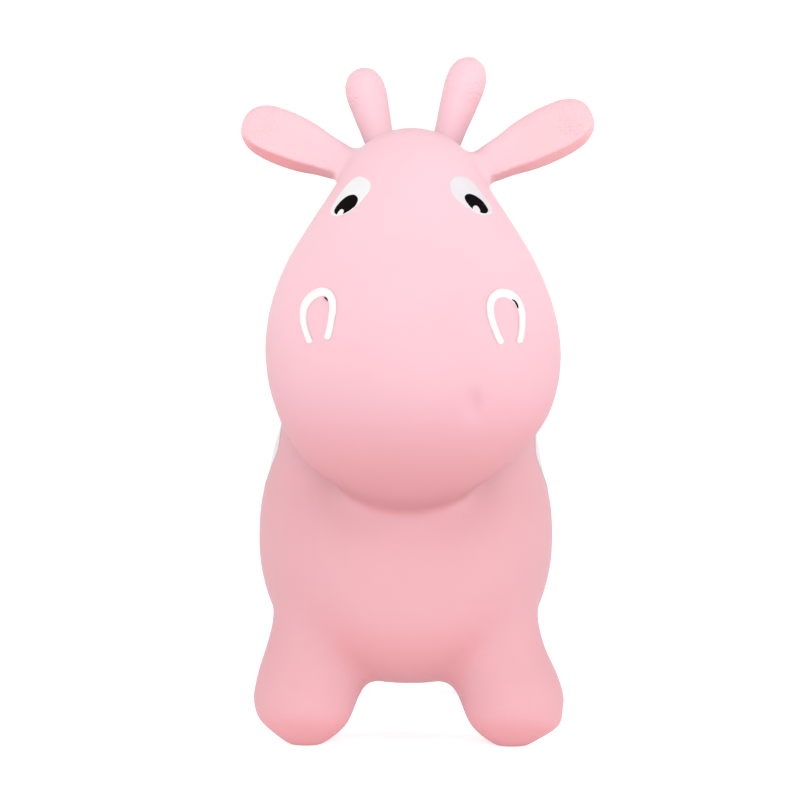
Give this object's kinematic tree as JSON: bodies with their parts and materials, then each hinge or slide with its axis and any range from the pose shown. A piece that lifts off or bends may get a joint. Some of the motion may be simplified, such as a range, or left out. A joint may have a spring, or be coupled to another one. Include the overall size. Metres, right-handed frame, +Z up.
{
  "type": "bouncy ride-on animal",
  "caption": "Inflated soft-vinyl calf that a small child sits on and bounces, with ears as hand grips, stubby horns, a tail and an air plug in the belly.",
  "frame": {"origin": "middle of the footprint, on the ground under the four soles", "axes": "+Z up, -Y the way the animal faces, +X towards its own left side"},
  "size_m": [0.2706, 0.5564, 0.5211],
  "materials": {
    "pink_vinyl": "soft satin vinyl",
    "white_paint": "satin paint",
    "black_paint": "glossy paint",
    "plug_vinyl": "satin vinyl"
  },
  "bodies": {
    "toy": {"body_skin": "pink_vinyl", "left_ear_root": "pink_vinyl", "right_ear_root": "pink_vinyl", "left_horn_root": "pink_vinyl", "right_horn_root": "pink_vinyl", "tail_root": "pink_vinyl", "left_eye_white": "white_paint", "left_pupil": "black_paint", "left_eye_glint": "white_paint", "left_nostril_rim": "white_paint", "left_flank_patch": "white_paint", "right_eye_white": "white_paint", "right_pupil": "black_paint", "right_eye_glint": "white_paint", "right_nostril_rim": "white_paint", "right_flank_patch": "white_paint", "valve_seat": "pink_vinyl"},
    "left_ear": {"left_ear": "pink_vinyl"},
    "right_ear": {"right_ear": "pink_vinyl"},
    "left_horn": {"left_horn": "pink_vinyl"},
    "right_horn": {"right_horn": "pink_vinyl"},
    "tail": {"tail": "pink_vinyl"},
    "plug": {"valve_plug": "plug_vinyl"}
  },
  "joints": [
    {"name": "left_ear_bend", "type": "hinge", "parent": "toy", "child": "left_ear", "pos_m": [0.05831, -0.11802, 0.43774], "axis": [0.4471, 0, -0.8945], "range_deg": [-25, 25], "stiffness_Nm_per_rad": 0.45, "deforming": ["left_ear_root"]},
    {"name": "right_ear_bend", "type": "hinge", "parent": "toy", "child": "right_ear", "pos_m": [-0.0555, -0.11072, 0.43952], "axis": [0.4117, 0, 0.9113], "range_deg": [-25, 25], "stiffness_Nm_per_rad": 0.45, "deforming": ["right_ear_root"]},
    {"name": "left_horn_bend", "type": "hinge", "parent": "toy", "child": "left_horn", "pos_m": [0.02575, -0.09297, 0.45268], "axis": [0.9611, 0, -0.2763], "range_deg": [-20, 20], "stiffness_Nm_per_rad": 0.3, "deforming": ["left_horn_root"]},
    {"name": "right_horn_bend", "type": "hinge", "parent": "toy", "child": "right_horn", "pos_m": [-0.02371, -0.0904, 0.45233], "axis": [0.9685, 0, 0.2489], "range_deg": [-20, 20], "stiffness_Nm_per_rad": 0.3, "deforming": ["right_horn_root"]},
    {"name": "tail_bend", "type": "hinge", "parent": "toy", "child": "tail", "pos_m": [0, 0.23317, 0.19671], "axis": [-1, 0, 0], "range_deg": [-25, 25], "stiffness_Nm_per_rad": 0.15, "deforming": ["tail_root"]},
    {"name": "plug_pull", "type": "slide", "parent": "toy", "child": "plug", "axis": [0, 0, -1], "range_m": [0, 0.02]}
  ]
}
